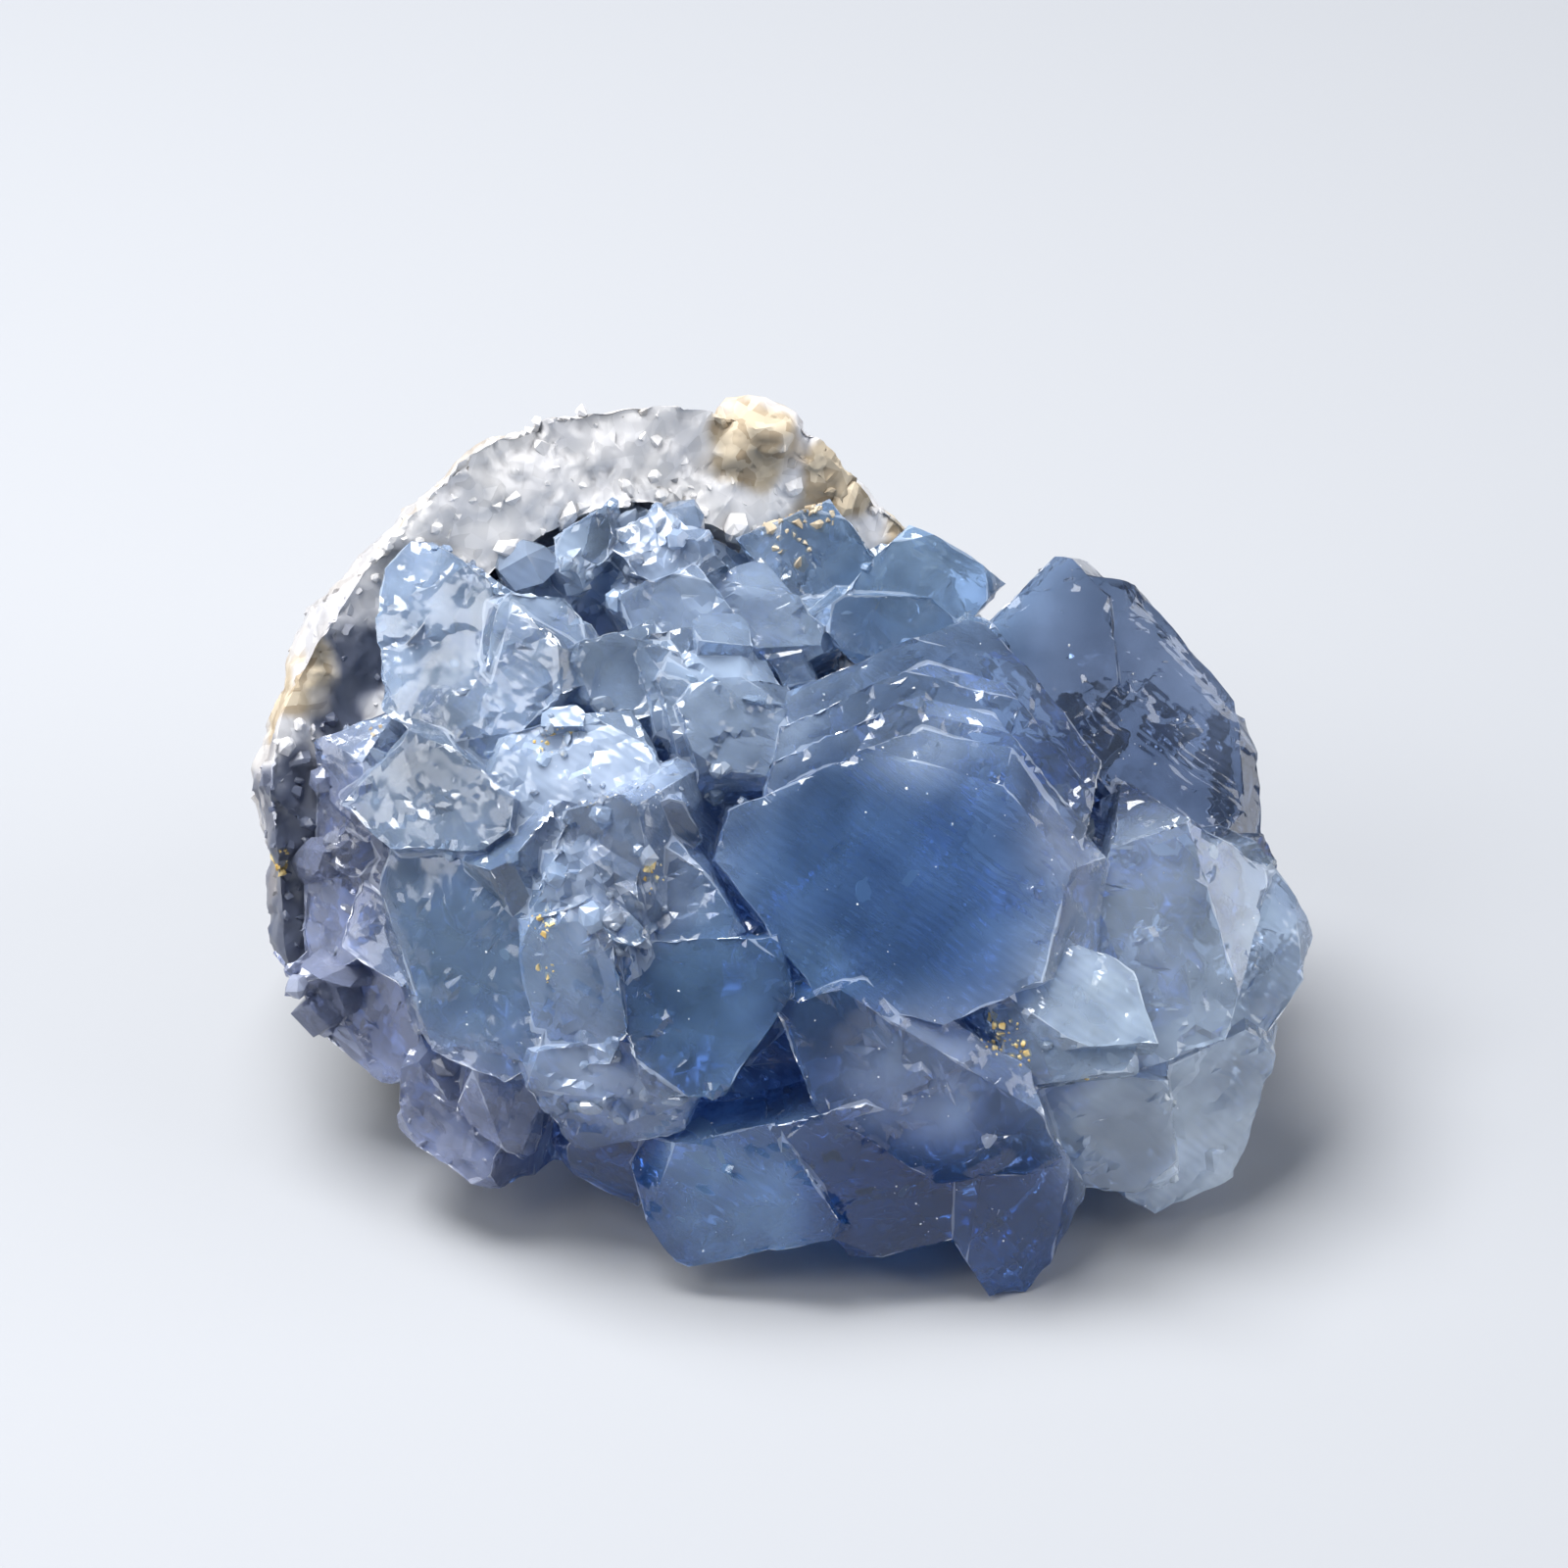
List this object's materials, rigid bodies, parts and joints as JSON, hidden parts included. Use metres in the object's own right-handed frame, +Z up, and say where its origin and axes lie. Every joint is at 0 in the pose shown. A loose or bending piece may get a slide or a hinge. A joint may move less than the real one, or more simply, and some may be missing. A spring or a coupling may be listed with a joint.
{
  "type": "celestite geode fragment",
  "caption": "Broken piece of a celestite geode: a curved white granular rind holding a druse of grown-together see-through blue tabular crystals, standing on its own flat spots.",
  "frame": {"origin": "on the surface the specimen rests on, under the middle of its bounding box", "axes": "+Z up; +X along the longest side, to the right when the great blue crystal face looks at the viewer, who stands at -Y"},
  "size_m": [0.0792, 0.0624, 0.0486],
  "materials": {
    "celestite": "see-through pale to deep blue crystal with glassy faces, milky veils and frosted, dusty patches",
    "rind": "rough white to grey sugary crystal wall with tan host rock stuck to it"
  },
  "bodies": {
    "root": {"crystals": "celestite", "rind": "rind"}
  },
  "joints": []
}
